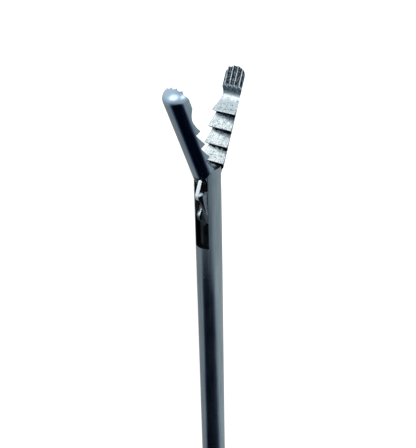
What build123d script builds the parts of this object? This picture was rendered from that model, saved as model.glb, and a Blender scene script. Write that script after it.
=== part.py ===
from build123d import *
import math
import os

# Rigid double action grasping forceps for use through an endoscope.
# +X runs along the shaft towards the jaws, +Z is up, and the jaws and the handle open in the XY plane.
# The origin is on the shaft axis, at the front face of the ferrule, where the shaft leaves the handle.
# All sizes are in millimetres and degrees. The forceps is modelled with its jaws open.

# Shaft
working_length = 360.0
shaft_radius = 1.75
tube_wall = 0.45
tube_seat_length = 12.0
tube_seat_step = 0.17

# Clevis at the end of the shaft
clevis_taper = 0.03
clevis_wall = 0.50
clevis_bore_front = 3.5
seam_land = 0.5
spigot_length = 4.0
spigot_wall = 0.33
slot_depth = 9.65
prong_end_radius = 1.40
prong_end_centre = 0.27
prong_flat = 1.42
prong_shoulder_round = 1.25
prong_shoulder_back = 1.0

# Jaws
jaw_length = 14.05
jaw_back_clearance = 0.03
jaw_open_angle = 24.0
jaw_overclose_angle = 0.5
tip_dome_length = 1.25
pad_back = 11.50
throat_centre = 10.25
throat_front_end = 9.35
right_pad_offset = 0.62
right_throat_depth = 1.14
right_throat_front_depth = 0.93
right_crest_offset = 0.18
left_pad_offset = -0.08
left_throat_depth = 0.55
left_throat_front_depth = 0.46
left_crest_offset = 0.06
first_crest = 8.12
tooth_pitch = 2.07
tooth_count = 4
tooth_land = 0.05
tooth_lean = 0.17
tooth_depth = 0.70
flank_sag = 0.05
ridge_groove_count = 5
ridge_groove_pitch = 0.71
ridge_groove_radius = 0.34
ridge_groove_depth = 0.26
ridge_groove_runout = 0.6

# Jaw roots and tails
half_gap = 0.02
layer_gap = 0.03
cheek_gap = 0.04
root_clearance = 0.05
hub_radius = 1.30
hub_gap = 0.12
prong_gap = 0.13
neck_front = 2.4
neck_back = 0.2
tail_notch_front = 1.20
tail_thickness = 0.48
tail_hub_radius = 1.15
tail_shoulder_back = 0.75
tail_shoulder_radius = 0.30
knee_radius_from_pivot = 2.70
knee_angle = 22.2
knee_eye_radius = 0.66

# Links and pull rod
link_thickness = 0.50
link_length = 4.27
link_knee_eye_radius = 0.65
link_rod_eye_radius = 1.15
tongue_eye_radius = 0.90
tongue_neck = 1.0
rod_tip_clearance = 0.05
shoulder_clearance = 0.07
rod_tip_back = 12.2
rod_end_room = 0.31
rod_socket_depth = 3.0
pull_rod_radius = 0.70

# Pins and clearances
jaw_pin_radius = 0.55
knee_pin_radius = 0.32
link_pin_radius = 0.45
running_clearance = 0.03
knee_clearance = 0.09
seat_clearance = 0.01

# Handle body
handle_half_thickness = 3.5
ferrule_length = 6.0
ferrule_front_radius = 2.5
ferrule_rim = 0.5
ferrule_nose_wall = 1.5
ferrule_wall = 0.39
ferrule_cone_length = 3.5
body_cover = 1.5
bush_length = 2.6
bush_radius = 1.50
rod_clearance = 0.06
rod_bore_clearance = 0.24
chamber_wall = 2.4
roof_height = 2.3
cheek_bottom_radius = 6.0
cheek_top_setback = 3.0
cheek_top_radius = 4.4
body_edge_round = 0.9
fixed_root_reach = (9.0, -8.0)
fixed_root_radius = 3.4
root_block_radius = 4.6
fixed_waist_reach = (12.0, -27.0)
fixed_waist_radius = 2.5
fixed_ring_reach = (13.5, -60.0)

# Lever with the thumb ring
pivot_setback = 7.5
lever_height = 5.0
lever_boss_radius = 3.0
lever_relief_radius = 7.0
shank_reach = (-4.0, -8.0)
shank_radius = 3.2
arm_top_reach = (-1.0, -4.0)
arm_top_radius = 3.6
lever_waist_reach = (-10.5, -27.0)
lever_waist_radius = 2.6
thumb_ring_reach = (-29.5, -54.0)
fork_side_gap = 0.10
fork_cheek = 0.85
fork_eye_radius = 1.60
fork_floor_gap = 0.75
lever_side_gap = 0.10
drive_pin_radius = 0.60
drive_clearance = 0.06
pivot_screw_radius = 1.30
pivot_head_radius = 2.2
pivot_head_height = 0.7
pivot_head_clearance = 0.05
pivot_slot_width = 0.5
pivot_slot_depth = 0.35
pivot_slot_angle = 35.0

# Finger rings
ring_half_x = 11.0
ring_half_y = 15.0
ring_end_radius = 9.0
ring_wall = 4.4
ring_edge_round = 1.6
arm_edge_round = 1.4

# Rod coupler
coupler_length = 10.5
coupler_half_width = 1.15
coupler_half_height = 1.45
coupler_edge_round = 0.25
nut_length = 1.4
nut_radius = 1.70
nut_room = 1.6
coupler_screw_radius = 0.6
coupler_screw_length = 2.2
coupler_slot_width = 0.3
coupler_slot_depth = 0.35

# Cuts run this far past the faces that they leave
overrun = 1.0


# Shapes used throughout

def turned(shape, angle, x=0.0, y=0.0):
    """Turn a shape about the upright line through (x, y)."""
    return Pos(x, y, 0) * Rot(0, 0, angle) * Pos(-x, -y, 0) * shape


def plate(sketch, low, high):
    """A flat sketch as a plate between two heights."""
    return extrude(Pos(0, 0, low) * sketch, amount=high - low)


def hull_of(*circles):
    """Flat outline that wraps circles given as (x, y, radius)."""
    edges = [edge for x, y, r in circles for edge in (Pos(x, y) * Circle(r)).edges()]
    return make_hull(edges)


def disc(x, y, radius, low, high):
    """Upright cylinder between two heights."""
    return Pos(x, y, (low + high) / 2) * Cylinder(radius, high - low)


def bar(radius, back, front):
    """Round bar along the shaft axis."""
    return Pos((back + front) / 2, 0, 0) * Rot(0, 90, 0) * Cylinder(radius, front - back)


def shaft_hole(x, y, radius):
    """Upright hole right through the shaft."""
    return disc(x, y, radius, -shaft_radius - overrun, shaft_radius + overrun)


def handle_hole(x, y, radius):
    """Upright hole right through the handle."""
    return disc(x, y, radius, -handle_half_thickness - overrun, handle_half_thickness + overrun)


def at_pivot(shape):
    """Carry a shape from the jaw pivot's frame to the part's frame."""
    return Pos(jaw_pivot_x, 0, 0) * shape


# Link work, in the frame of the jaw pivot

def knee_at(jaw_angle):
    """Knee of the right jaw's tail when that jaw stands open by an angle."""
    angle = math.radians(knee_angle + jaw_angle)
    return (-knee_radius_from_pivot * math.cos(angle), knee_radius_from_pivot * math.sin(angle))


def rod_pin_at(jaw_angle):
    """Place of the rod's pin on the shaft axis."""
    x, y = knee_at(jaw_angle)
    return x - math.sqrt(link_length ** 2 - y ** 2)


def link_slope_at(jaw_angle):
    """Angle between the upper link and the shaft axis."""
    return math.degrees(math.asin(knee_at(jaw_angle)[1] / link_length))


# Worked out from the sizes above

jaw_pivot_x = working_length - jaw_length
jaw_back_radius = shaft_radius - jaw_back_clearance
tube_bore_radius = shaft_radius - tube_wall
tube_seat_radius = shaft_radius - tube_seat_step
clevis_bore_radius = shaft_radius - clevis_wall
rod_tip_radius = clevis_bore_radius - rod_tip_clearance
closed_knee = knee_at(-jaw_overclose_angle)
closed_rod_pin = rod_pin_at(-jaw_overclose_angle)
open_rod_pin = rod_pin_at(jaw_open_angle)
link_turn = link_slope_at(jaw_open_angle) - link_slope_at(-jaw_overclose_angle)
rod_stroke = open_rod_pin - closed_rod_pin
tail_low = half_gap
tail_high = half_gap + tail_thickness
link_low = tail_high + layer_gap
link_high = link_low + link_thickness
tongue_half = link_low - layer_gap
slot_half_width = link_high + cheek_gap
root_outer = slot_half_width - root_clearance
clevis_bore_back = rod_tip_back + rod_stroke + rod_end_room
seam_back = clevis_bore_back + seam_land
bush_back = tube_seat_length + bush_length
chamber_front = bush_back + chamber_wall
coupler_front = chamber_front + nut_room + nut_length
coupler_back = coupler_front + coupler_length
pivot_x = -coupler_front - pivot_setback
drive_pin_x = pivot_x + rod_stroke / 2
lever_turn = 2 * math.degrees(math.atan(rod_stroke / 2 / lever_height))
barrel_radius = handle_half_thickness - ferrule_wall - seat_clearance
fork_slot_half = coupler_half_width + fork_side_gap
lever_plate_half = fork_slot_half + fork_cheek
cheek_slot_half = lever_plate_half + lever_side_gap


def beside_pivot(reach):
    """Point in the plane of the handle, from its distances to the lever's pivot line."""
    return (pivot_x + reach[0], reach[1])


# Jaws

def jaw_side_outline(pad_offset, throat_depth, throat_front_depth, crest_offset):
    """Side outline of a jaw: pad, throat and saw teeth, with the body below."""
    floor = -jaw_back_radius - overrun
    front = jaw_length + overrun
    pad_end = (pad_back, -pad_offset)
    start = (throat_front_end, -throat_front_depth)
    edges = [
        Line((front, -pad_offset), pad_end),
        ThreePointArc(pad_end, (throat_centre, -throat_depth), start),
    ]
    for index in range(tooth_count):
        crest_x = first_crest - index * tooth_pitch
        crest = (crest_x, -crest_offset)
        back_of_land = (crest_x - tooth_land, -crest_offset)
        root = (crest_x - tooth_lean, -crest_offset - tooth_depth)
        middle = ((start[0] + crest[0]) / 2, (start[1] + crest[1]) / 2 - flank_sag)
        edges.append(ThreePointArc(start, middle, crest))
        edges.append(Line(crest, back_of_land))
        edges.append(Line(back_of_land, root))
        start = root
    edges.append(Line(start, (0, start[1])))
    edges.append(Line((0, start[1]), (0, floor)))
    edges.append(Line((0, floor), (front, floor)))
    edges.append(Line((front, floor), (front, -pad_offset)))
    return make_face(edges)


def jaw_blank():
    """Round bar with a domed end, from which a jaw is milled."""
    dome_start = jaw_length - tip_dome_length
    edges = [
        Line((0, 0), (0, jaw_back_radius)),
        Line((0, jaw_back_radius), (dome_start, jaw_back_radius)),
        EllipticalCenterArc((dome_start, 0), tip_dome_length, jaw_back_radius, 0, arc_size=90),
        Line((jaw_length, 0), (0, 0)),
    ]
    return revolve(make_face(edges), Axis.X)


def pad_grooves(pad_offset):
    """Lengthwise grooves that leave narrow gripping ridges on the tip pad."""
    height = ridge_groove_radius - ridge_groove_depth - pad_offset
    middle = (ridge_groove_count - 1) / 2
    groove = bar(ridge_groove_radius, pad_back - ridge_groove_runout, jaw_length + overrun)
    return [
        Pos(0, height, (index - middle) * ridge_groove_pitch) * groove
        for index in range(ridge_groove_count)
    ]


def jaw_tail():
    """Tail plate behind the pivot, which crosses to the other side of the shaft."""
    knee_x, knee_y = knee_at(0)
    shoulder_y = knee_y + knee_eye_radius - tail_shoulder_radius
    outline = hull_of(
        (0, 0, tail_hub_radius),
        (-tail_shoulder_back, shoulder_y, tail_shoulder_radius),
        (knee_x, knee_y, knee_eye_radius),
    )
    return plate(outline, tail_low, tail_high)


def jaw_root(crest_offset):
    """Hub and neck between the tail and the toothed body."""
    neck = Polygon(
        (0, -hub_radius),
        (neck_back, -jaw_back_radius),
        (neck_front, -jaw_back_radius),
        (neck_front, -crest_offset - tooth_depth),
        (hub_radius, 0),
        (0, hub_radius / 2),
        align=None,
    )
    return disc(0, 0, hub_radius, half_gap, root_outer) + plate(neck, half_gap, root_outer)


def make_jaw(pad_offset, throat_depth, throat_front_depth, crest_offset):
    """Right jaw, closed, in the frame of the jaw pivot."""
    outline = jaw_side_outline(pad_offset, throat_depth, throat_front_depth, crest_offset)
    body = jaw_blank() & extrude(outline, amount=2 * shaft_radius, both=True)
    for groove in pad_grooves(pad_offset):
        body -= groove
    prong_relief_radius = prong_end_centre + prong_end_radius + prong_gap
    side = shaft_radius + overrun
    for low, high in ((root_outer, side), (-side, -root_outer)):
        body -= disc(0, 0, prong_relief_radius, low, high)
    body -= disc(0, 0, hub_radius + hub_gap, -side, side)
    notch = Pos(0, -shaft_radius) * Rectangle(2 * tail_notch_front, 2 * shaft_radius)
    body -= plate(notch, -tail_high - layer_gap, half_gap)
    trim = bar(jaw_back_radius, -2 * knee_radius_from_pivot, jaw_length)
    jaw = body + ((jaw_root(crest_offset) + jaw_tail()) & trim)
    jaw -= shaft_hole(0, 0, jaw_pin_radius + running_clearance)
    jaw -= shaft_hole(*knee_at(0), knee_pin_radius + knee_clearance)
    return jaw


def make_link():
    """Upper link, closed, in the frame of the jaw pivot."""
    outline = hull_of(
        (*closed_knee, link_knee_eye_radius),
        (closed_rod_pin, 0, link_rod_eye_radius),
    )
    inside_shaft = bar(jaw_back_radius, closed_rod_pin - 2 * link_rod_eye_radius, 0)
    link = plate(outline, link_low, link_high) & inside_shaft
    link -= shaft_hole(*closed_knee, knee_pin_radius + seat_clearance)
    link -= shaft_hole(closed_rod_pin, 0, link_pin_radius + running_clearance)
    return link


def opened_link(shape):
    """Carry a piece of the upper link from the closed to the open place."""
    shifted = Pos(rod_stroke, 0, 0) * shape
    return turned(shifted, link_turn, open_rod_pin, 0)


def make_rod_tip():
    """Stepped end of the pull rod, with a tongue between the links."""
    tip = bar(rod_tip_radius, -rod_tip_back, open_rod_pin + tongue_eye_radius)
    sides = hull_of(
        (open_rod_pin, 0, tongue_eye_radius),
        (open_rod_pin - tongue_neck, 0, rod_tip_radius),
        (-rod_tip_back, 0, rod_tip_radius),
    )
    round_part = bar(rod_tip_radius, -rod_tip_back, open_rod_pin - rod_tip_radius)
    tip &= plate(sides, -shaft_radius, shaft_radius) + round_part
    cut_radius = link_rod_eye_radius + shoulder_clearance
    cut_size = 2 * shaft_radius
    window = Pos(open_rod_pin + cut_size / 2, 0) * Rectangle(cut_size, cut_size)
    window += Pos(open_rod_pin, 0) * Circle(cut_radius)
    for low, high in ((tongue_half, shaft_radius), (-shaft_radius, -tongue_half)):
        tip -= plate(window, low, high)
    tip -= shaft_hole(open_rod_pin, 0, link_pin_radius + seat_clearance)
    tip -= bar(pull_rod_radius + seat_clearance, -rod_tip_back - overrun, -rod_tip_back + rod_socket_depth)
    return tip


def clevis_round(back, front):
    """Slightly tapered round of the clevis between two places along the shaft."""
    slope = clevis_taper / (seam_back + prong_flat)
    back_radius = shaft_radius - slope * (back + seam_back)
    front_radius = shaft_radius - slope * (front + seam_back)
    cone = Cone(back_radius, front_radius, front - back)
    return Pos((back + front) / 2, 0, 0) * Rot(0, 90, 0) * cone


def make_clevis():
    """Slotted end of the shaft, with its spigot inside the tube."""
    shoulder_y = shaft_radius - prong_shoulder_round
    ends = hull_of(
        (prong_end_centre, 0, prong_end_radius),
        (-prong_shoulder_back, shoulder_y, prong_shoulder_round),
        (-prong_shoulder_back, -shoulder_y, prong_shoulder_round),
    )
    ends += Pos(-prong_shoulder_back - seam_back / 2, 0) * Rectangle(seam_back, 2 * shaft_radius)
    ends &= Pos(prong_flat - seam_back, 0) * Rectangle(2 * seam_back, 2 * shaft_radius)
    clevis = clevis_round(-seam_back, prong_flat) & plate(ends, -shaft_radius, shaft_radius)
    spigot_back = -seam_back - spigot_length
    clevis += bar(tube_bore_radius - seat_clearance, spigot_back, -seam_back)
    clevis -= bar(clevis_bore_radius, -clevis_bore_back, -clevis_bore_front)
    clevis -= bar(tube_bore_radius - spigot_wall, spigot_back - overrun, -clevis_bore_back)
    slot_length = slot_depth + prong_flat + overrun
    slot_box = Box(slot_length, 2 * (shaft_radius + overrun), 2 * slot_half_width)
    clevis -= Pos(slot_length / 2 - slot_depth, 0, 0) * slot_box
    clevis -= shaft_hole(0, 0, jaw_pin_radius + seat_clearance)
    return clevis


def make_jaw_pin():
    """Cross pin of the jaws, ground flush with the prongs."""
    return shaft_hole(0, 0, jaw_pin_radius) & clevis_round(-jaw_pin_radius, jaw_pin_radius)


def make_outer_tube():
    """Drawn tube from the handle to the clevis, turned down where the handle holds it."""
    tube = bar(shaft_radius, 0, jaw_pivot_x - seam_back)
    tube += bar(tube_seat_radius, -tube_seat_length, 0)
    return tube - bar(tube_bore_radius, -tube_seat_length - overrun, jaw_pivot_x)


# Handle

def ring_oval(grow):
    """Oval of four arcs, grown outwards from the finger opening."""
    end_centre = ring_half_y - ring_end_radius
    squares = ring_half_x ** 2 + end_centre ** 2 - ring_end_radius ** 2
    side_radius = squares / (2 * (ring_half_x - ring_end_radius))
    slope = math.atan2(end_centre, side_radius - ring_half_x)
    x = (ring_end_radius + grow) * math.cos(slope)
    y = (ring_end_radius + grow) * math.sin(slope) + end_centre
    side = ring_half_x + grow
    end = ring_half_y + grow
    return make_face([
        ThreePointArc((x, -y), (side, 0), (x, y)),
        ThreePointArc((x, y), (0, end), (-x, y)),
        ThreePointArc((-x, y), (-side, 0), (-x, -y)),
        ThreePointArc((-x, -y), (0, -end), (x, -y)),
    ])


def ring_opening(centre, tilt):
    """What is cut away inside a finger ring."""
    hole = extrude(ring_oval(0), handle_half_thickness + overrun, both=True)
    return Pos(*centre, 0) * Rot(0, 0, tilt) * hole


def finger_ring(centre, tilt):
    """Oval ring with rounded edges."""
    ring = extrude(ring_oval(ring_wall), handle_half_thickness, both=True)
    ring -= ring_opening((0, 0), 0)
    ring = fillet(ring.edges(), ring_edge_round)
    return Pos(*centre, 0) * Rot(0, 0, tilt) * ring


def rounded_plate(sketch, half_thickness, edge_round):
    """Plate centred on the XY plane, with rounded upper and lower edges."""
    block = plate(sketch, -half_thickness, half_thickness)
    rims = block.faces().sort_by(Axis.Z)
    return fillet(rims[0].edges() + rims[-1].edges(), edge_round)


def ring_and_arm(ring_centre, tilt, waist, waist_radius, top, top_radius):
    """Finger ring on an arm that narrows to a waist."""
    away = math.radians(90 + tilt)
    reach = ring_half_y + ring_wall / 2
    ring_x, ring_y = ring_centre
    joint = (ring_x + reach * math.cos(away), ring_y + reach * math.sin(away))
    upper = hull_of((*top, top_radius), (*waist, waist_radius))
    lower = hull_of((*waist, waist_radius), (*joint, waist_radius))
    arm = rounded_plate(upper + lower, handle_half_thickness, arm_edge_round)
    arm += finger_ring(ring_centre, tilt)
    return arm - ring_opening(ring_centre, tilt)


def make_fixed_handle():
    """Handle body with the barrel in front and the finger ring below."""
    root = beside_pivot(fixed_root_reach)
    body_front = tube_seat_length + body_cover
    body_outline = hull_of(
        (pivot_x, -lever_height, cheek_bottom_radius),
        (pivot_x - cheek_top_setback, 0, cheek_top_radius),
        (-body_front - handle_half_thickness, 0, handle_half_thickness),
        (*root, fixed_root_radius),
    )
    handle = rounded_plate(body_outline, handle_half_thickness, body_edge_round)
    barrel_back = -body_front - handle_half_thickness
    handle += bar(barrel_radius, barrel_back, -ferrule_nose_wall - seat_clearance)
    handle += ring_and_arm(
        beside_pivot(fixed_ring_reach), 0, beside_pivot(fixed_waist_reach), fixed_waist_radius,
        root, fixed_root_radius,
    )
    handle -= bar(tube_seat_radius + seat_clearance, -tube_seat_length, 0)
    handle -= bar(bush_radius + seat_clearance, -bush_back, 0)
    handle -= bar(pull_rod_radius + rod_bore_clearance, -chamber_front - overrun, 0)
    slot_back = pivot_x - cheek_top_setback - cheek_top_radius - overrun
    slot_floor = -lever_height - cheek_bottom_radius - overrun
    slot_length = -chamber_front - slot_back
    slot_middle = Pos(slot_back + slot_length / 2, (roof_height + slot_floor) / 2, 0)
    slot = slot_middle * Box(slot_length, roof_height - slot_floor, 2 * cheek_slot_half)
    below_pivot = Pos(root[0], -lever_height - root_block_radius)
    block = Rectangle(2 * root_block_radius, 2 * root_block_radius)
    root_block = Pos(*root) * Circle(root_block_radius) & below_pivot * block
    handle -= slot - plate(root_block, -handle_half_thickness, handle_half_thickness)
    handle -= handle_hole(pivot_x, -lever_height, pivot_screw_radius + seat_clearance)
    head_seat = handle_half_thickness - pivot_head_height
    head_hole = pivot_head_radius + pivot_head_clearance
    handle -= disc(pivot_x, -lever_height, head_hole, head_seat, handle_half_thickness + overrun)
    return handle


def make_moving_handle():
    """Lever with the fork above its pivot and the thumb ring below, open."""
    boss = (pivot_x, -lever_height, lever_boss_radius)
    neck = hull_of(boss, (drive_pin_x, 0, fork_eye_radius))
    shank_end = (pivot_x + shank_reach[0], shank_reach[1] - lever_height)
    shank = hull_of(boss, (*shank_end, shank_radius))
    lever = plate(neck, -lever_plate_half, lever_plate_half)
    lever += plate(shank, -lever_plate_half, lever_plate_half)
    arm_top = (pivot_x + arm_top_reach[0], arm_top_reach[1] - lever_height)
    arm = ring_and_arm(
        beside_pivot(thumb_ring_reach), -lever_turn, beside_pivot(lever_waist_reach), lever_waist_radius,
        arm_top, arm_top_radius,
    )
    lever += arm - handle_hole(pivot_x, -lever_height, lever_relief_radius)
    fork_slot_height = 2 * (coupler_half_height + fork_floor_gap)
    fork_slot_length = 4 * lever_boss_radius
    lever -= Pos(drive_pin_x, 0, 0) * Box(fork_slot_length, fork_slot_height, 2 * fork_slot_half)
    lever -= handle_hole(drive_pin_x, 0, drive_pin_radius + drive_clearance)
    lever -= handle_hole(pivot_x, -lever_height, pivot_screw_radius + running_clearance)
    return lever


def make_ferrule():
    """Tapered union nut over the barrel, with a rim at its front."""
    thread = barrel_radius + seat_clearance
    bore = tube_seat_radius + seat_clearance
    outline = Polygon(
        (-ferrule_length, thread),
        (-ferrule_length, handle_half_thickness),
        (-ferrule_cone_length, handle_half_thickness),
        (-ferrule_rim, ferrule_front_radius + ferrule_rim),
        (0, ferrule_front_radius),
        (0, bore),
        (-ferrule_nose_wall, bore),
        (-ferrule_nose_wall, thread),
        align=None,
    )
    return revolve(outline, Axis.X)


def make_pivot_screw():
    """Slotted shoulder screw, flush with both cheeks."""
    top = handle_half_thickness
    screw = disc(pivot_x, -lever_height, pivot_head_radius, top - pivot_head_height, top)
    screw += disc(pivot_x, -lever_height, pivot_screw_radius, -top, top)
    slot = Rot(0, 0, pivot_slot_angle) * Box(3 * pivot_head_radius, pivot_slot_width, 2 * pivot_slot_depth)
    return screw - Pos(pivot_x, -lever_height, top) * slot


def make_coupler():
    """Block on the rear end of the rod, which the lever's fork straddles."""
    block = Box(coupler_length, 2 * coupler_half_height, 2 * coupler_half_width)
    block = fillet(block.edges().filter_by(Axis.X), coupler_edge_round)
    block = Pos(-(coupler_front + coupler_back) / 2, 0, 0) * block
    block -= bar(pull_rod_radius + seat_clearance, -coupler_front - rod_socket_depth, 0)
    screw_hole = bar(coupler_screw_radius + seat_clearance, -overrun, coupler_screw_length)
    block -= Pos(-coupler_back, 0, 0) * screw_hole
    return block - handle_hole(drive_pin_x, 0, drive_pin_radius + seat_clearance)


def make_lock_nut():
    """Hexagon nut on the rod, against the coupler's front face."""
    nut = extrude(RegularPolygon(nut_radius, 6), nut_length)
    nut = Pos(-coupler_front, 0, 0) * Rot(0, 90, 0) * nut
    return nut - bar(pull_rod_radius + seat_clearance, -coupler_front - overrun, 0)


def make_coupler_screw():
    """Small slotted screw in the coupler's rear end."""
    screw = bar(coupler_screw_radius, 0, coupler_screw_length)
    slot = Box(2 * coupler_slot_depth, 3 * coupler_screw_radius, coupler_slot_width)
    return Pos(-coupler_back, 0, 0) * (screw - slot)


def make_guide_bush():
    """Plastic bush behind the tube, which guides the rod."""
    bush = bar(bush_radius, -bush_back, -tube_seat_length)
    return bush - bar(pull_rod_radius + rod_clearance, -chamber_front, 0)


def make_pull_rod():
    """Rod from the coupler to the rod tip."""
    return bar(
        pull_rod_radius,
        -coupler_front - rod_socket_depth,
        jaw_pivot_x - rod_tip_back + rod_socket_depth,
    )


right_jaw = make_jaw(
    right_pad_offset, right_throat_depth, right_throat_front_depth, right_crest_offset,
)
left_jaw = make_jaw(
    left_pad_offset, left_throat_depth, left_throat_front_depth, left_crest_offset,
)
link = make_link()
knee_pin = disc(*closed_knee, knee_pin_radius, half_gap, link_high)
turn_over = Rot(180, 0, 0)

pieces = {
    "outer_tube": make_outer_tube(),
    "clevis_tip": at_pivot(make_clevis()),
    "jaw_pivot_pin": at_pivot(make_jaw_pin()),
    "jaw_right": at_pivot(turned(right_jaw, -jaw_open_angle)),
    "jaw_left": at_pivot(turn_over * turned(left_jaw, -jaw_open_angle)),
    "link_upper": at_pivot(opened_link(link)),
    "link_lower": at_pivot(turn_over * opened_link(link)),
    "knee_pin_upper": at_pivot(opened_link(knee_pin)),
    "knee_pin_lower": at_pivot(turn_over * opened_link(knee_pin)),
    "rod_tip": at_pivot(make_rod_tip()),
    "link_rod_pin": at_pivot(disc(open_rod_pin, 0, link_pin_radius, -link_high, link_high)),
    "pull_rod": make_pull_rod(),
    "nose_ferrule": make_ferrule(),
    "rod_guide_bush": make_guide_bush(),
    "fixed_handle": make_fixed_handle(),
    "moving_handle": make_moving_handle(),
    "handle_pivot_screw": make_pivot_screw(),
    "rod_coupler": make_coupler(),
    "rod_lock_nut": make_lock_nut(),
    "drive_pin": disc(drive_pin_x, 0, drive_pin_radius, -lever_plate_half, lever_plate_half),
    "coupler_screw": make_coupler_screw(),
}

os.makedirs("parts", exist_ok=True)
for name, solid in pieces.items():
    export_step(solid, f"parts/{name}.step")
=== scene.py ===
import math

import bmesh
import bpy
from mathutils import Matrix, Vector


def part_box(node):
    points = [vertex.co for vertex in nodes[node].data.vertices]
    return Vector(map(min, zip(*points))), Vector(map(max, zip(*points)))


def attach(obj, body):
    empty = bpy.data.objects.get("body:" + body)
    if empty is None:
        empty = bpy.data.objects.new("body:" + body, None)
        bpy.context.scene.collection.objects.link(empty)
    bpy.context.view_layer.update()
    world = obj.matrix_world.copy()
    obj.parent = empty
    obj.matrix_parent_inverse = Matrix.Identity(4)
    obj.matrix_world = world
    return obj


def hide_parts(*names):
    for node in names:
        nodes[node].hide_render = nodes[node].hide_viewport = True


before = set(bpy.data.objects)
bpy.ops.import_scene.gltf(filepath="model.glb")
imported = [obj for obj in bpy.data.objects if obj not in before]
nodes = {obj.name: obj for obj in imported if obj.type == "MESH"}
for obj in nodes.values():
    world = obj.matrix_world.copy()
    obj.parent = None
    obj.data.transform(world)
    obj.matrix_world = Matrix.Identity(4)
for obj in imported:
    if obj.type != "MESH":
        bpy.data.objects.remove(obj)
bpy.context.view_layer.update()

# Rigid double action grasping forceps, dressed for rendering. Lengths are in metres unless a name says mm.
# +X runs along the shaft towards the jaws, +Z is up, and the forceps lies flat with its jaws open.

MM = 0.001

# Places read from the frame

jaw_pivot = (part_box("jaw_pivot_pin")[0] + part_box("jaw_pivot_pin")[1]) / 2
floor_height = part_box("fixed_handle")[0].z
shaft_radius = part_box("clevis_tip")[1].z

# Tube and pull rod

tube_bore_radius = 1.30 * MM
tube_seat_radius = 1.58 * MM
tube_corner = 0.03 * MM
tube_segments = 128
rod_corner = 0.05 * MM
rod_centre_radius = 0.02 * MM
rod_segments = 48
sharp_angle = math.radians(35)

# Jaw, measured from its pivot towards its tip. It lies open by the angle, and a pad's depth is below the
# plane in which the closed jaws meet.

jaw_open_angle = math.radians(24.0)
jaw_length_mm = 14.05
jaw_back_radius_mm = 1.72
tip_dome_mm = 1.25
first_crest_mm = 8.12
tooth_pitch_mm = 2.07
right_pad_depth_mm = 0.62
left_pad_depth_mm = -0.08

# Camera, placed from the jaw pivot

camera_offset = Vector((37.636, 64.283, 49.761)) * MM
camera_back = Vector((0.48008, 0.69326, 0.53751))
camera_up = Vector((0.87698, -0.39363, -0.27560))
focal_length_px = 717.56
image_height_px = 448
sensor_mm = 36.0
nearest_seen = 0.002
farthest_seen = 20.0

# Surround that the steel mirrors. An edge or a turn is the range of a unit direction over which one tone
# becomes the next.

dark_side = Vector((-0.7035, 0.5688, -0.4256))
dark_side_edge = (0.0, 0.30)
dark_height_edge = (-0.54, -0.20)
dark_far_edge = (0.44, 0.67)
dark_far_slant = 0.25
dark_level = 0.014
dark_colour = (0.06, 0.20, 0.75, 1)
white = (1, 1, 1, 1)
surround_level = 0.58
ground_level = 0.96
ground_level_behind = 0.40
ground_edge = (0.02, 0.30)
ground_turn = (-0.45, 0.35)
bright_side = Vector((0.556, 0.775, -0.298))
bright_edge = (0.95, 0.985)
bright_level = 1.7

# Lamps and floor

lamps = {
    "top_softbox": {"side": Vector((0.60, 0.16, 0.78)), "size": 0.36, "power": 0.72},
    "side_softbox": {"side": Vector((0.66, 0.74, 0.08)), "size": 0.50, "power": 1.10},
}
lamp_distance = 0.60
floor_half_size = 3.0
floor_colour = (0.80, 0.80, 0.80, 1)
floor_glow = 0.74

# Finishes. Two colours are the darker and the lighter tone of one surface. A range gives the values over
# which one becomes the other. A noise has its scale per millimetre, its detail and its roughness, a grain or
# a stretch has its lines per millimetre along X, Y and Z, and a relief has its strength and its depth in mm.

tone_range = (0.35, 0.65)
polish_range = (0.3, 0.7)
level_faces = (0.75, 0.95)
forward_faces = (0.10, 0.45)
steel_cloud_noise = (0.55, 2.0, 0.5)
steel_streak_share = 0.6

steels = {
    # Nearly black: painted shade for the pull rod, which lies in the shade of the tube.
    "rod_painted_shade_metal": {
        "colours": ((0.010, 0.014, 0.017, 1), (0.036, 0.050, 0.058, 1)),
        "roughness": (0.25, 0.40), "grain": (0.6, 8.0, 8.0), "relief": (0.5, 0.006),
    },
    "pin_metal": {
        "colours": ((0.40, 0.44, 0.47, 1), (0.52, 0.56, 0.60, 1)),
        "roughness": (0.18, 0.30), "grain": (5.0, 5.0, 1.0), "relief": (0.5, 0.004),
    },
    "dark_pin_metal": {
        "colours": ((0.13, 0.19, 0.22, 1), (0.24, 0.31, 0.36, 1)),
        "roughness": (0.20, 0.34), "grain": (5.0, 5.0, 1.0), "relief": (0.5, 0.004),
    },
    "handle_metal": {
        "colours": ((0.44, 0.46, 0.47, 1), (0.54, 0.56, 0.57, 1)),
        "roughness": (0.20, 0.30), "grain": (0.8, 3.0, 3.0), "relief": (0.5, 0.006),
    },
}
steel_pieces = {
    "rod_painted_shade_metal": ("rod_tip", "rod_coupler"),
    "pin_metal": ("handle_pivot_screw", "drive_pin", "coupler_screw", "rod_lock_nut"),
    "dark_pin_metal": ("knee_pin_upper", "knee_pin_lower", "link_rod_pin"),
    "handle_metal": ("fixed_handle", "moving_handle", "nose_ferrule"),
}

# Blackened link faces; painted highlight on ground edges that face forward, painted shade on those facing
# back.
link_face_colours = ((0.075, 0.105, 0.135, 1), (0.22, 0.28, 0.33, 1))
link_edge_highlight_colours = ((0.38, 0.47, 0.54, 1), (0.60, 0.70, 0.76, 1))
link_rear_edge_shade_colour = (0.10, 0.13, 0.16, 1)
link_grain = (1.5, 6.0, 6.0)
link_cloud_noise = (1.6, 3.0, 0.5)
link_streak_share = 0.5
link_tone_range = (0.38, 0.62)
link_roughness = (0.24, 0.36)
link_relief = (0.5, 0.008)

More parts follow.
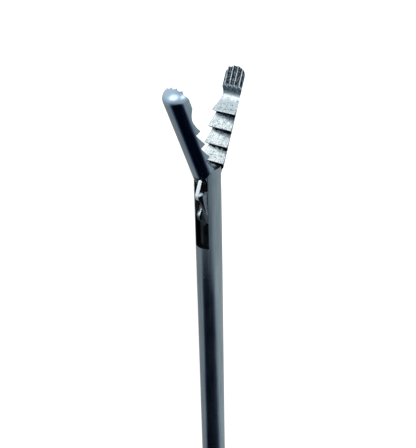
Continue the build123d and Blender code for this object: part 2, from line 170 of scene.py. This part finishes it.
shaft_colours = ((0.265, 0.355, 0.40, 1), (0.375, 0.48, 0.53, 1))
# Dark oxide and painted shade inside the clevis and on its front faces.
shaft_inside_oxide_and_shade_colour = (0.022, 0.024, 0.030, 1)
shaft_grain = (0.22, 5.5, 5.5)
shaft_cloud_stretch = (0.12, 0.5, 0.5)
shaft_cloud_noise = (1.0, 3.0, 0.5)
shaft_streak_share = 0.55
shaft_fine_roughness = 0.19
shaft_dull_roughness = 0.31
shaft_uneven_roughness = 0.07
shaft_inside_roughness = 0.2
shaft_relief = (0.45, 0.004)
fine_until_mm = 16.0
dull_from_mm = 8.5
clevis_skin_mm = 0.06
clevis_skin_edge_mm = 0.03

plastic_colours = ((0.74, 0.73, 0.70, 1), (0.82, 0.81, 0.78, 1))
plastic_ring_stretch = (12.0, 0.5, 0.5)
plastic_ring_noise = (1.0, 2.0, 0.5)
plastic_roughness = (0.42, 0.55)
plastic_relief = (0.3, 0.01)

# Jaw finish, with painted shade and painted highlights on the cut faces, hub and tail. A start, front or rear
# is a distance from the pivot along the jaw, a floor is a depth below the pad, and the places of teeth and
# root are counted in teeth from the first crest towards the pivot.

back_edge = (0.93, 0.975)
back_colours = ((0.25, 0.35, 0.42, 1), (0.33, 0.43, 0.50, 1))
back_grain = (0.5, 6.0, 6.0)
back_roughness = (0.14, 0.20)
dome_colour = (0.42, 0.56, 0.70, 1)
dome_colour_edge = (0.0, 0.15)
dome_roughness_edge = (0.0, 0.3)
dome_added_roughness = 0.17
# Painted shade on the hub, where the jaw sits between the clevis prongs.
hub_shade_colour = (0.012, 0.016, 0.024, 1)
hub_shade_front_mm = (1.45, 1.05)
# Painted highlight on the tail's upright edges and painted shade on its faces, behind the pivot.
tail_edge_highlight_colour = (0.78, 0.87, 0.94, 1)
tail_face_shade_colour = (0.010, 0.012, 0.017, 1)
tail_front_mm = (1.3, 0.9)
tail_side_mm = (-0.10, 0.10)

cut_grain_noise = (5.5, 5.0, 0.65)
cut_colours = ((0.42, 0.57, 0.70, 1), (0.90, 0.99, 1.0, 1))
cut_colour_range = (0.28, 0.48)
cut_roughness = (0.30, 0.42)
cut_relief = (0.7, 0.035)
cut_marks = {
    "streaks": {
        "stretch": (1.2, 1.2, 7.0), "detail": 4.0, "shown": (0.52, 0.61),
        "strength": 0.42, "colour": (0.20, 0.31, 0.40, 1),
    },
    "waves": {
        "stretch": (7.0, 3.0, 1.8), "detail": 3.0, "shown": (0.55, 0.63),
        "strength": 0.60, "colour": (0.14, 0.23, 0.32, 1),
    },
    "specks": {
        "stretch": (5.5, 5.5, 5.5), "detail": 3.0, "shown": (0.575, 0.655),
        "strength": 0.80, "colour": (0.03, 0.045, 0.08, 1),
    },
}
# Painted shade on the cut face between the first crest and the throat.
shoulder_shade_colour = (0.34, 0.47, 0.56, 1)
shoulder_shade_strength = 0.38
shoulder_front_mm = (10.5, 9.7)
shoulder_rear_mm = (8.0, 8.3)

# Painted shade at the tooth roots, past each crest, in the throat and in the pad's grooves.
shade_colours = ((0.04, 0.06, 0.08, 1), (0.22, 0.30, 0.36, 1))
shade_colour_range = (0.38, 0.62)
deep_shade_colours = ((0.004, 0.006, 0.011, 1), (0.10, 0.135, 0.17, 1))
deep_shade_colour_range = (0.46, 0.60)
crest_shadow_colour = (0.004, 0.006, 0.012, 1)
throat_start_mm = (10.0, 10.7)
throat_floor_mm = (0.12, 0.19)
pad_start_mm = (11.45, 11.6)
groove_floor_mm = (0.05, 0.11)
first_tooth = (0.02, 0.06)
last_tooth = (3.34, 3.16)
jaw_root = (3.14, 3.24)
shade_reach = 0.48
shade_slant = 0.10
shade_loss_per_tooth = 0.06
grey_shade_edge = (-0.20, 0.10)
black_shade_edge = (-0.34, -0.16)
ragged_share = 0.5
ragged_noise = (2.2, 3.0, 0.6)
# Painted shadow line under each crest.
crest_shadow_width = 0.170
crest_shadow_slant = 0.035
crest_shadow_start = (0.035, 0.06)
crest_shadow_edge = (-0.03, 0.03)
crest_shadow_noise = (2.6, 2.0, 0.5)


def add_object(name, data):
    """New object in the scene that shows the given data."""
    item = bpy.data.objects.new(name, data)
    bpy.context.scene.collection.objects.link(item)
    return item


def make_camera():
    """Camera at the photograph's viewing angle."""
    data = bpy.data.cameras.new("camera")
    data.sensor_width = sensor_mm
    data.lens = focal_length_px * sensor_mm / image_height_px
    data.clip_start = nearest_seen
    data.clip_end = farthest_seen
    camera = add_object("camera", data)
    back = camera_back.normalized()
    right = camera_up.cross(back).normalized()
    up = back.cross(right)
    turn = Matrix((right, up, back)).transposed().to_4x4()
    camera.matrix_world = Matrix.Translation(jaw_pivot + camera_offset) @ turn
    bpy.context.scene.camera = camera


# Node helpers

class Nodes:
    """Short way to add and join shader nodes in one tree. A value is a number or another node's output."""

    def __init__(self, tree):
        self.tree = tree
        tree.nodes.clear()

    def add(self, kind, **settings):
        node = self.tree.nodes.new(kind)
        for name, value in settings.items():
            setattr(node, name, value)
        return node

    def feed(self, target, value):
        """Join a node's output to an input, or set the input's own value."""
        if isinstance(value, bpy.types.NodeSocket):
            self.tree.links.new(value, target)
        else:
            target.default_value = value

    def show(self, shader, output="ShaderNodeOutputMaterial"):
        """Make a shader the surface of the tree."""
        self.feed(self.add(output).inputs["Surface"], shader)

    def result(self, kind, output, inputs, **settings):
        """One output of a new node, whose inputs are given by name or number."""
        node = self.add(kind, **settings)
        for key, value in inputs.items():
            self.feed(node.inputs[key], value)
        return node.outputs[output]

    def math(self, operation, *values):
        return self.result("ShaderNodeMath", 0, dict(enumerate(values)), operation=operation)

    def plus(self, first, second):
        return self.math("ADD", first, second)

    def minus(self, first, second):
        return self.math("SUBTRACT", first, second)

    def times(self, first, second):
        return self.math("MULTIPLY", first, second)

    def scaled(self, value, factor, offset):
        """A value times a factor, plus an offset."""
        return self.math("MULTIPLY_ADD", value, factor, offset)

    def larger(self, first, second):
        return self.math("MAXIMUM", first, second)

    def inverse(self, value):
        """One minus a value."""
        return self.minus(1.0, value)

    def shared(self, first, second, share):
        """Mean of two values, of which the first counts for a given share."""
        return self.scaled(first, share, self.times(second, 1 - share))

    def smooth(self, value, low, high, start=0.0, end=1.0):
        """Smooth turn from start, at a value of low, to end, at a value of high. Low may be the larger."""
        inputs = {"Value": value, "From Min": low, "From Max": high, "To Min": start, "To Max": end}
        return self.result("ShaderNodeMapRange", "Result", inputs, interpolation_type="SMOOTHSTEP")

    def blend(self, factor, first, second):
        """Colour between two colours."""
        return self.result("ShaderNodeMix", 2, {0: factor, 6: first, 7: second}, data_type="RGBA")

    def between(self, factor, first, second):
        """Number between two numbers."""
        return self.result("ShaderNodeMix", 0, {0: factor, 2: first, 3: second}, data_type="FLOAT")

    def noise(self, vector, scale, detail, roughness):
        inputs = {"Vector": vector, "Scale": scale, "Detail": detail, "Roughness": roughness}
        return self.result("ShaderNodeTexNoise", "Fac", inputs)

    def stretched(self, vector, scale):
        return self.result("ShaderNodeMapping", "Vector", {"Vector": vector, "Scale": scale})

    def drawn(self, vector, scale, detail=4.0, roughness=0.6):
        """Noise that is drawn out to lines, like the marks of grinding and polishing."""
        return self.noise(self.stretched(vector, scale), 1.0, detail, roughness)

    def bump(self, height, strength, distance):
        inputs = {"Height": height, "Strength": strength, "Distance": distance}
        return self.result("ShaderNodeBump", "Normal", inputs)

    def split(self, vector):
        """The X, Y and Z of a vector."""
        node = self.add("ShaderNodeSeparateXYZ")
        self.feed(node.inputs[0], vector)
        return list(node.outputs)

    def towards(self, direction, side):
        """How far a direction points to a side, one where both are the same."""
        return self.result("ShaderNodeVectorMath", "Value", {0: direction, 1: side}, operation="DOT_PRODUCT")

    def millimetres(self, turn, origin):
        """Object coordinates in millimetres, measured from an origin and turned about Z."""
        inputs = {
            "Vector": self.add("ShaderNodeTexCoord").outputs["Object"],
            "Location": -(Matrix.Rotation(turn, 3, "Z") @ Vector(origin)) / MM,
            "Rotation": (0, 0, turn),
            "Scale": (1 / MM,) * 3,
        }
        return self.result("ShaderNodeMapping", "Vector", inputs)

    def normal(self):
        """The X, Y and Z of the surface's normal."""
        return self.split(self.add("ShaderNodeTexCoord").outputs["Normal"])

    def faces_up(self):
        """One where a surface is level, up or down, and nought on its upright edges."""
        return self.smooth(self.math("ABSOLUTE", self.normal()[2]), *level_faces)

    def faces_forward(self):
        """One on surfaces turned towards the front end of the shaft, nought on the others."""
        return self.smooth(self.normal()[0], *forward_faces)

    def radius_from_axis(self, vector):
        """Distance from the X axis of a vector's frame."""
        y, z = self.split(vector)[1:]
        return self.math("SQRT", self.scaled(y, y, self.times(z, z)))


class Surface(Nodes):
    """Nodes of one material, with its shader and its place on the piece in millimetres."""

    def __init__(self, name, metallic=1.0, turn=0.0, origin=(0, 0, 0)):
        self.material = bpy.data.materials.new(name)
        self.material.use_nodes = True
        super().__init__(self.material.node_tree)
        self.shader = self.add("ShaderNodeBsdfPrincipled")
        self.shader.inputs["Metallic"].default_value = metallic
        self.show(self.shader.outputs[0])
        self.place = self.millimetres(turn, origin)

    def finish(self, colour, roughness, height, relief):
        """Wire colour, roughness and fine relief, and give the finished material."""
        strength, depth_mm = relief
        self.feed(self.shader.inputs["Base Color"], colour)
        self.feed(self.shader.inputs["Roughness"], roughness)
        self.feed(self.shader.inputs["Normal"], self.bump(height, strength, depth_mm * MM))
        return self.material


# Materials

def steel(name, colours, roughness, grain, relief):
    """Satin steel with drawn grain, cloudy tone and an uneven polish."""
    kit = Surface(name)
    streaks = kit.drawn(kit.place, grain)
    tone = kit.shared(streaks, kit.noise(kit.place, *steel_cloud_noise), steel_streak_share)
    colour = kit.blend(kit.smooth(tone, *tone_range), *colours)
    rough = kit.smooth(tone, *polish_range, *roughness)
    return kit.finish(colour, rough, streaks, relief)


def link_material(name):
    """Blackened flat links with ground edges, which carry a painted highlight where they face forward
    and painted shade where they face back.
    """
    kit = Surface(name, origin=jaw_pivot)
    streaks = kit.drawn(kit.place, link_grain)
    tone = kit.shared(streaks, kit.noise(kit.place, *link_cloud_noise), link_streak_share)
    tone = kit.smooth(tone, *link_tone_range)
    face = kit.blend(tone, *link_face_colours)
    # Painted highlight on edges facing forward, painted shade on edges facing back.
    edge = kit.blend(kit.faces_forward(), link_rear_edge_shade_colour, kit.blend(tone, *link_edge_highlight_colours))
    colour = kit.blend(kit.faces_up(), edge, face)
    return kit.finish(colour, kit.smooth(tone, 0.0, 1.0, *link_roughness), streaks, link_relief)


def shaft_material(name, inner_radius_mm=None):
    """Ground and passivated shaft steel, duller beside its slot; if a radius is given, dark oxide and painted
    shade inside it and on faces turned to the front end.
    """
    kit = Surface(name)
    streaks = kit.drawn(kit.place, shaft_grain)
    cloud = kit.noise(kit.stretched(kit.place, shaft_cloud_stretch), *shaft_cloud_noise)
    tone = kit.shared(streaks, cloud, shaft_streak_share)
    colour = kit.blend(kit.smooth(tone, *tone_range), *shaft_colours)
    polish_place = [jaw_pivot.x / MM - behind for behind in (fine_until_mm, dull_from_mm)]
    rough = kit.smooth(kit.split(kit.place)[0], *polish_place, shaft_fine_roughness, shaft_dull_roughness)
    rough = kit.plus(rough, kit.smooth(tone, *polish_range, 0.0, shaft_uneven_roughness))
    if inner_radius_mm is not None:
        radius = kit.radius_from_axis(kit.place)
        outside = kit.smooth(radius, inner_radius_mm - clevis_skin_edge_mm, inner_radius_mm)
        outside = kit.times(outside, kit.inverse(kit.faces_forward()))
        # Dark oxide and painted shade inside the radius and on faces turned to the front end.
        colour = kit.blend(outside, shaft_inside_oxide_and_shade_colour, colour)
        rough = kit.scaled(kit.inverse(outside), shaft_inside_roughness, rough)
    return kit.finish(colour, rough, streaks, shaft_relief)


def plastic_material(name):
    """Turned plastic of the rod's guide bush."""
    kit = Surface(name, metallic=0.0)
    rings = kit.noise(kit.stretched(kit.place, plastic_ring_stretch), *plastic_ring_noise)
    rough = kit.smooth(rings, *polish_range, *plastic_roughness)
    return kit.finish(kit.blend(rings, *plastic_colours), rough, rings, plastic_relief)


class JawSurface(Surface):
    """A jaw's nodes. Along runs to its tip, height towards the other jaw, and across from edge to edge."""

    def __init__(self, name, side, pad_depth_mm):
        super().__init__(name, turn=side * jaw_open_angle, origin=jaw_pivot)
        self.along, toward, upward = self.split(self.place)
        self.height = self.times(toward, side)
        self.across = self.times(upward, side)
        self.below_pad = self.minus(-pad_depth_mm, self.height)
        dome = self.larger(self.minus(self.along, jaw_length_mm - tip_dome_mm), 0.0)
        self.into_dome = self.math("DIVIDE", dome, tip_dome_mm)
        self.teeth = self.math("DIVIDE", self.minus(first_crest_mm, self.along), tooth_pitch_mm)
        self.past_crest = self.math("FRACT", self.teeth)
        self.toothed = self.times(self.smooth(self.teeth, *first_tooth), self.smooth(self.teeth, *last_tooth))
        self.grain = self.noise(self.place, *cut_grain_noise)
        self.polish = self.drawn(self.place, back_grain)
        self.back = self.back_share()

    def back_share(self):
        """One on the round back and the domed tip, nought on the faces cut into the jaw."""
        girth = self.math("DIVIDE", self.radius_from_axis(self.place), jaw_back_radius_mm)
        skin = self.scaled(girth, girth, self.times(self.into_dome, self.into_dome))
        return self.smooth(skin, *back_edge)

    def ragged(self, noise):
        """Uneven change of a width, to either side of nought."""
        return self.scaled(self.noise(self.place, *noise), ragged_share, -ragged_share / 2)

    def hollow(self, floor_mm, start_mm):
        """One where the jaw is cut deeper than its pad by a floor's range, from a start on to the tip."""
        return self.times(self.smooth(self.below_pad, *floor_mm), self.smooth(self.along, *start_mm))

    def band(self, width, edge):
        """One from each crest to a width past it, then fading to nought over the edge."""
        low, high = (self.plus(width, offset) for offset in edge)
        return self.inverse(self.smooth(self.past_crest, low, high))

    def shades(self):
        """Grey and black painted shade on the cut faces: past each crest, at the root and in the hollows."""
        reach = self.scaled(self.across, shade_slant, shade_reach)
        reach = self.plus(reach, self.ragged(ragged_noise))
        reach = self.scaled(self.teeth, -shade_loss_per_tooth, reach)
        root = self.smooth(self.teeth, *jaw_root)
        throat = self.hollow(throat_floor_mm, throat_start_mm)
        groove = self.hollow(groove_floor_mm, pad_start_mm)
        grey = self.times(self.band(reach, grey_shade_edge), self.toothed)
        grey = self.larger(self.larger(grey, root), throat)
        black = self.larger(self.times(self.band(reach, black_shade_edge), self.toothed), groove)
        return grey, black

    def crest_shadow(self):
        """One in the painted shadow line right under each crest."""
        width = self.scaled(self.across, crest_shadow_slant, crest_shadow_width)
        width = self.plus(width, self.ragged(crest_shadow_noise))
        line = self.times(self.band(width, crest_shadow_edge), self.smooth(self.past_crest, *crest_shadow_start))
        return self.times(line, self.toothed)

    def marked(self, colour_below, stretch, detail, shown, strength, colour):
        """A colour with marks of another colour over it."""
        marks = self.smooth(self.drawn(self.place, stretch, detail), *shown)
        return self.blend(self.times(marks, strength), colour_below, colour)

    def cut_colour(self):
        """Blasted faces with painted shade at the roots, past each crest, in the throat, grooves and
        shoulder, and a painted shadow line under each crest.
        """
        bright = self.blend(self.smooth(self.grain, *cut_colour_range), *cut_colours)
        # Painted shade on the band between the first crest and the throat.
        shoulder = self.times(
            self.smooth(self.along, *shoulder_front_mm), self.smooth(self.along, *shoulder_rear_mm),
        )
        bright = self.blend(self.times(shoulder, shoulder_shade_strength), bright, shoulder_shade_colour)
        for mark in cut_marks.values():
            bright = self.marked(bright, **mark)
        # Painted shade in the roots, throat, grooves and past each crest.
        grey, black = self.shades()
        shade = self.blend(self.smooth(self.grain, *shade_colour_range), *shade_colours)
        deep_shade = self.blend(self.smooth(self.grain, *deep_shade_colour_range), *deep_shade_colours)
        colour = self.blend(self.larger(grey, black), bright, self.blend(black, shade, deep_shade))
        # Painted shadow line under each crest.
        return self.blend(self.crest_shadow(), colour, crest_shadow_colour)

    def back_colour(self):
        """Polished back with painted shade on the hub at the pivot and a paler dome at the tip."""
        colour = self.blend(self.smooth(self.polish, *tone_range), *back_colours)
        # Painted shade on the hub at the pivot.
        hub = self.times(self.back, self.smooth(self.along, *hub_shade_front_mm))
        colour = self.blend(hub, colour, hub_shade_colour)
        return self.blend(self.smooth(self.into_dome, *dome_colour_edge), colour, dome_colour)

    def colour(self):
        """Colour of the whole jaw, with painted shade on the level faces of its tail behind the pivot
        and a painted highlight on the tail's upright edges.
        """
        colour = self.blend(self.back, self.cut_colour(), self.back_colour())
        # Painted shade on the tail's faces and a painted highlight on its edges.
        tail = self.times(self.smooth(self.height, *tail_side_mm), self.smooth(self.along, *tail_front_mm))
        return self.blend(tail, colour, self.blend(self.faces_up(), tail_edge_highlight_colour, tail_face_shade_colour))

    def roughness(self):
        """Roughness of the whole jaw, its dome a little duller than its back."""
        cut = self.smooth(self.grain, *polish_range, *cut_roughness)
        back = self.smooth(self.polish, *polish_range, *back_roughness)
        dome = self.smooth(self.into_dome, *dome_roughness_edge, 0.0, dome_added_roughness)
        return self.between(self.back, cut, self.plus(back, dome))


def jaw_material(name, side, pad_depth_mm):
    """Jaw steel: a polished round back and tip, blasted cut faces and painted shade in roots and grooves.

    side is 1 for the right jaw, which opens towards -Y, and -1 for the left one.
    """
    kit = JawSurface(name, side, pad_depth_mm)
    relief = kit.times(kit.grain, kit.inverse(kit.back))
    return kit.finish(kit.colour(), kit.roughness(), relief, cut_relief)


# Meshes

def lathe(name, profile, segments, material):
    """Closed ring of revolution about the X axis from (x, radius) points, smooth but for its corners."""
    mesh = bmesh.new()
    rings = []
    for x, radius in profile:
        ring = []
        for step in range(segments):
            angle = 2 * math.pi * step / segments
            ring.append(mesh.verts.new((x, radius * math.cos(angle), radius * math.sin(angle))))
        rings.append(ring)
    for ring, after in zip(rings, rings[1:] + rings[:1]):
        for step in range(segments):
            ahead = (step + 1) % segments
            mesh.faces.new((ring[step], ring[ahead], after[ahead], after[step]))
    bmesh.ops.recalc_face_normals(mesh, faces=mesh.faces)
    data = bpy.data.meshes.new(name)
    mesh.to_mesh(data)
    mesh.free()
    data.shade_smooth()
    data.set_sharp_from_angle(angle=sharp_angle)
    data.materials.append(material)
    return add_object(name, data)


def make_smooth_tube(material):
    """The shaft's tube, round to the eye, with broken corners at its rear end and its shoulder."""
    low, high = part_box("outer_tube")
    profile = [
        (low.x, tube_bore_radius), (low.x, tube_seat_radius - tube_corner),
        (low.x + tube_corner, tube_seat_radius), (0, tube_seat_radius),
        (0, shaft_radius - tube_corner), (tube_corner, shaft_radius),
        (high.x, shaft_radius), (high.x, tube_bore_radius),
    ]
    tube = lathe("shaft_tube", profile, tube_segments, material)
    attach(tube, "fixed_frame")
    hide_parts("outer_tube")


def make_smooth_rod(material):
    """The pull rod, round to the eye, with a small bore left at its centre line."""
    low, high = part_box("pull_rod")
    radius = high.z
    profile = [
        (low.x, rod_centre_radius), (low.x, radius - rod_corner), (low.x + rod_corner, radius),
        (high.x - rod_corner, radius), (high.x, radius - rod_corner), (high.x, rod_centre_radius),
    ]
    rod = lathe("pull_rod_smooth", profile, rod_segments, material)
    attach(rod, "rod")
    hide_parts("pull_rod")


# Stage

def floor_material():
    """Pale paper, white to the camera. Reflections pass through it, so steel mirrors the surround."""
    material = bpy.data.materials.new("floor_paper")
    material.use_nodes = True
    kit = Nodes(material.node_tree)
    path = kit.add("ShaderNodeLightPath").outputs
    seen = kit.larger(path["Is Camera Ray"], path["Is Transmission Ray"])
    paper = kit.result("ShaderNodeBsdfDiffuse", 0, {"Color": floor_colour})
    glow = kit.result("ShaderNodeEmission", 0, {"Strength": kit.times(seen, floor_glow)})
    clear = kit.result("ShaderNodeBsdfTransparent", 0, {})
    both = kit.result("ShaderNodeAddShader", 0, {0: paper, 1: glow})
    choice = kit.result("ShaderNodeMixShader", 0, {0: path["Is Glossy Ray"], 1: both, 2: clear})
    kit.show(choice)
    return material


def make_floor():
    """Floor under the forceps, at the height of the handle's lower face."""
    data = bpy.data.meshes.new("floor")
    signs = [(-1, -1), (1, -1), (1, 1), (-1, 1)]
    corners = [(floor_half_size * x, floor_half_size * y, 0) for x, y in signs]
    data.from_pydata(corners, [], [(0, 1, 2, 3)])
    data.materials.append(floor_material())
    floor = add_object("floor", data)
    floor.location = (jaw_pivot.x / 2, 0, floor_height)


def make_world():
    """Light surround, white to the camera. Steel mirrors a pale ground, a dark side and a bright patch."""
    world = bpy.data.worlds.new("studio")
    bpy.context.scene.world = world
    world.use_nodes = True
    kit = Nodes(world.node_tree)
    direction = kit.add("ShaderNodeTexCoord").outputs["Generated"]
    camera_ray = kit.add("ShaderNodeLightPath").outputs["Is Camera Ray"]
    unseen = kit.inverse(camera_ray)
    x, y, z = kit.split(direction)
    away = kit.minus(kit.times(y, dark_far_slant), x)
    dark = kit.smooth(kit.towards(direction, dark_side), *dark_side_edge)
    dark = kit.times(dark, kit.smooth(z, *dark_height_edge))
    dark = kit.times(dark, kit.smooth(away, *dark_far_edge))
    dark = kit.times(dark, unseen)
    ground = kit.smooth(x, *ground_turn, ground_level_behind, ground_level)
    pale = kit.smooth(kit.times(z, -1.0), *ground_edge, surround_level, ground)
    bright = kit.smooth(kit.towards(direction, bright_side), *bright_edge, 0.0, bright_level)
    level = kit.scaled(dark, kit.minus(dark_level, pale), pale)
    level = kit.larger(kit.times(kit.plus(level, bright), unseen), camera_ray)
    inputs = {"Color": kit.blend(dark, white, dark_colour), "Strength": level}
    background = kit.result("ShaderNodeBackground", 0, inputs)
    kit.show(background, "ShaderNodeOutputWorld")


def make_lamp(name, side, size, power):
    """Broad soft lamp that faces the jaws from one side."""
    data = bpy.data.lights.new(name, "AREA")
    data.shape = "DISK"
    data.size = size
    data.energy = power
    lamp = add_object(name, data)
    aim = side.normalized()
    lamp.location = jaw_pivot + aim * lamp_distance
    lamp.rotation_mode = "QUATERNION"
    lamp.rotation_quaternion = aim.to_track_quat("Z", "Y")


def dress(material, *node_names):
    """Give CAD nodes their material."""
    for node_name in node_names:
        for holder in nodes[node_name].material_slots:
            holder.material = material


make_camera()
make_world()
for lamp_name, settings in lamps.items():
    make_lamp(lamp_name, **settings)
make_floor()

make_smooth_tube(shaft_material("tube_steel"))
dress(shaft_material("tip_steel", shaft_radius / MM - clevis_skin_mm), "clevis_tip")
dress(shaft_material("jaw_pin_steel"), "jaw_pivot_pin")
dress(jaw_material("jaw_steel_right", 1, right_pad_depth_mm), "jaw_right")
dress(jaw_material("jaw_steel_left", -1, left_pad_depth_mm), "jaw_left")
dress(link_material("link_metal"), "link_upper", "link_lower")
dress(plastic_material("guide_plastic"), "rod_guide_bush")
metals = {metal_name: steel(metal_name, **finish) for metal_name, finish in steels.items()}
for metal_name, pieces in steel_pieces.items():
    dress(metals[metal_name], *pieces)
make_smooth_rod(metals["rod_painted_shade_metal"])

bpy.context.scene.view_settings.view_transform = "Standard"
